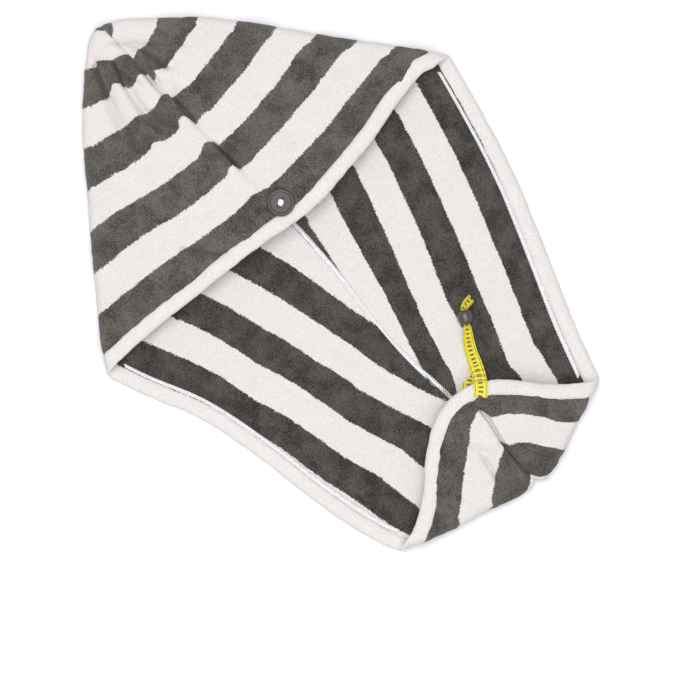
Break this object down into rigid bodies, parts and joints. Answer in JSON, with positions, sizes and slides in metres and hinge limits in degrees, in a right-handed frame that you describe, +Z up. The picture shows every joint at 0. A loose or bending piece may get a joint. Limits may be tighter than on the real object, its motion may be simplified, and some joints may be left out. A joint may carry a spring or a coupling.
{
  "type": "hair turban towel",
  "caption": "Striped plush hair turban towel laid flat, with a rolled hem round its mouth, a button on the folded hood end and a ribbon loop with a bead on the tail end.",
  "frame": {"origin": "bottom centre of the bounding box, on the surface that the towel lies on", "axes": "+X along the centre seam from the hood's tip to the tail's tip, +Y to the wearer's right, +Z up out of the mouth"},
  "size_m": [0.5696, 0.4186, 0.0332],
  "materials": {
    "striped_plush": "coral fleece in off-white and dark olive grey stripes along the hem",
    "white_plush": "off-white coral fleece binding",
    "overlock_thread": "white polyester thread with a slight sheen",
    "button_resin": "satin brown-grey resin",
    "yellow_ribbon": "bright yellow grosgrain ribbon",
    "bead_plastic": "smooth dark grey plastic"
  },
  "bodies": {
    "root": {"left_panel": "striped_plush", "right_panel": "striped_plush", "rolled_hem": "white_plush", "seam_overlock": "overlock_thread", "button": "button_resin", "button_thread": "overlock_thread", "ribbon_front": "yellow_ribbon", "ribbon_back": "yellow_ribbon", "loop_bead": "bead_plastic"}
  },
  "joints": []
}
